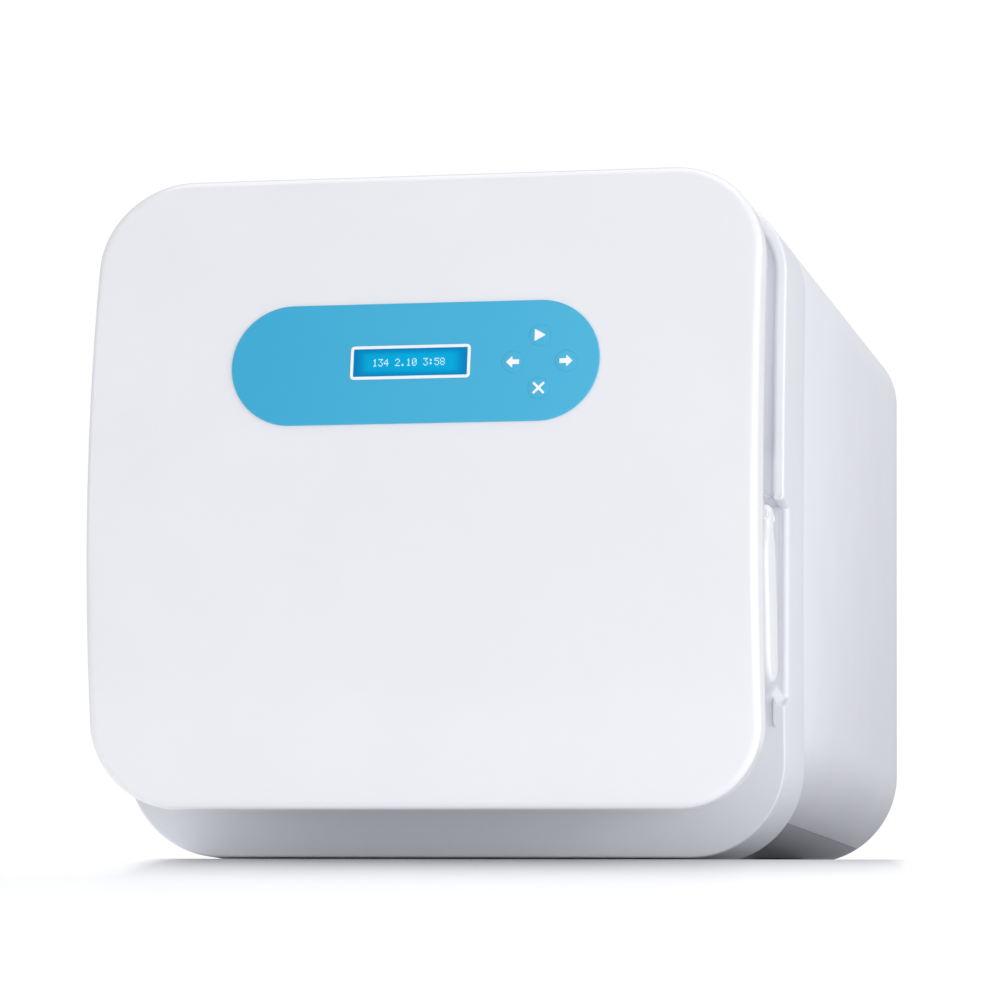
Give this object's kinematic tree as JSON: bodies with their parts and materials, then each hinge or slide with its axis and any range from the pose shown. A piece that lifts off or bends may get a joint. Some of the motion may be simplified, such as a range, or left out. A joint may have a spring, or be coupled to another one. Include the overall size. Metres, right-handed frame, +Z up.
{
  "type": "benchtop autoclave",
  "caption": "Benchtop autoclave: round chamber with sliding trays in a white cabinet, side-hinged convex door with keypad and pull lever.",
  "frame": {"origin": "on the table, under the centre of the object's bounding box", "axes": "+Z up, -Y out through the door, +X to the right as seen from the front"},
  "size_m": [0.3886, 0.6273, 0.3913],
  "materials": {
    "gloss_white": "high gloss, moulded",
    "moulded_grey_white": "satin moulded",
    "painted_sheet": "satin powder coat",
    "blue_film": "smooth printed film",
    "display_glass": "clear window over a lit blue display",
    "black_plastic": "fine texture",
    "circuit_board": "solder mask",
    "stainless": "brushed",
    "structural_steel": "plated",
    "tray_aluminium": "satin anodised",
    "valve_brass": "turned",
    "silicone": "matt",
    "foot_rubber": "matt",
    "insulation_felt": "needled felt"
  },
  "bodies": {
    "cabinet": {"front_bezel": "moulded_grey_white", "cabinet_jacket": "painted_sheet", "base_pan": "painted_sheet", "rear_panel": "painted_sheet", "rear_screw_upper_left": "stainless", "rear_screw_upper_right": "stainless", "rear_screw_lower_left": "stainless", "rear_screw_lower_right": "stainless", "foot_front_left": "foot_rubber", "foot_front_right": "foot_rubber", "foot_rear_left": "foot_rubber", "foot_rear_right": "foot_rubber", "chamber_vessel": "stainless", "chamber_flange": "stainless", "heater_band": "silicone", "chamber_insulation": "insulation_felt", "front_bulkhead": "structural_steel", "chamber_support_rear": "structural_steel", "tray_rack": "stainless", "hinge_bracket_upper": "structural_steel", "hinge_bracket_lower": "structural_steel", "hinge_pin": "stainless", "latch_keeper": "structural_steel", "door_switch": "black_plastic", "safety_valve": "valve_brass", "solenoid_valve": "black_plastic", "drain_outlet": "valve_brass", "steam_pipe": "stainless", "pressure_transducer": "stainless", "temperature_probe": "stainless", "power_board": "circuit_board", "power_inlet": "black_plastic", "fuse_holder_lower": "black_plastic", "fuse_holder_upper": "black_plastic"},
    "door": {"door_cover": "gloss_white", "door_back_frame": "moulded_grey_white", "keypad_overlay": "blue_film", "display_frame": "gloss_white", "display_window": "display_glass", "display_module": "black_plastic", "keypad_board": "circuit_board", "door_crossbar": "structural_steel", "plate_stud": "stainless", "stud_nut": "stainless", "door_plate": "stainless", "door_gasket": "silicone", "bolt_guide": "structural_steel", "lever_bracket": "structural_steel", "lever_pin": "stainless"},
    "lever": {"door_lever": "gloss_white"},
    "bolt": {"latch_bolt": "stainless"},
    "start_key": {"key_start": "blue_film"},
    "left_key": {"key_left": "blue_film"},
    "right_key": {"key_right": "blue_film"},
    "cancel_key": {"key_cancel": "blue_film"},
    "lower_tray": {"tray_lower": "tray_aluminium"},
    "middle_tray": {"tray_middle": "tray_aluminium"},
    "upper_tray": {"tray_upper": "tray_aluminium"},
    "rocker": {"power_switch_rocker": "black_plastic"},
    "valve_stem": {"safety_valve_stem": "stainless"}
  },
  "joints": [
    {"name": "door_hinge", "type": "hinge", "parent": "cabinet", "child": "door", "pos_m": [-0.183, -0.255, 0.2105], "axis": [0, 0, -1], "range_deg": [0, 110]},
    {"name": "lever_pivot", "type": "hinge", "parent": "door", "child": "lever", "pos_m": [0.187, -0.2416, 0.197], "axis": [0, -1, 0], "range_deg": [-9, 35]},
    {"name": "bolt_slide", "type": "slide", "parent": "door", "child": "bolt", "axis": [1, 0, 0], "range_m": [-0.0215, 0.0056]},
    {"name": "start_press", "type": "slide", "parent": "door", "child": "start_key", "axis": [0, 0.9901, -0.1403], "range_m": [0, 0.0004], "stiffness_N_per_m": 4000},
    {"name": "left_press", "type": "slide", "parent": "door", "child": "left_key", "axis": [0, 0.9934, -0.1147], "range_m": [0, 0.0004], "stiffness_N_per_m": 4000},
    {"name": "right_press", "type": "slide", "parent": "door", "child": "right_key", "axis": [0, 0.9934, -0.1147], "range_m": [0, 0.0004], "stiffness_N_per_m": 4000},
    {"name": "cancel_press", "type": "slide", "parent": "door", "child": "cancel_key", "axis": [0, 0.996, -0.0888], "range_m": [0, 0.0004], "stiffness_N_per_m": 4000},
    {"name": "lower_tray_slide", "type": "slide", "parent": "cabinet", "child": "lower_tray", "axis": [0, -1, 0], "range_m": [0, 0.115]},
    {"name": "middle_tray_slide", "type": "slide", "parent": "cabinet", "child": "middle_tray", "axis": [0, -1, 0], "range_m": [0, 0.115]},
    {"name": "upper_tray_slide", "type": "slide", "parent": "cabinet", "child": "upper_tray", "axis": [0, -1, 0], "range_m": [0, 0.115]},
    {"name": "rocker_tilt", "type": "hinge", "parent": "cabinet", "child": "rocker", "pos_m": [0.126, 0.2984, 0.102], "axis": [-1, 0, 0], "range_deg": [0, 16]},
    {"name": "valve_test_pull", "type": "slide", "parent": "cabinet", "child": "valve_stem", "axis": [0, 1, 0], "range_m": [0, 0.003], "stiffness_N_per_m": 2500}
  ],
  "couplings": [
    {"joint": "bolt_slide", "follows": "lever_pivot", "m_per_rad": -0.034377}
  ]
}
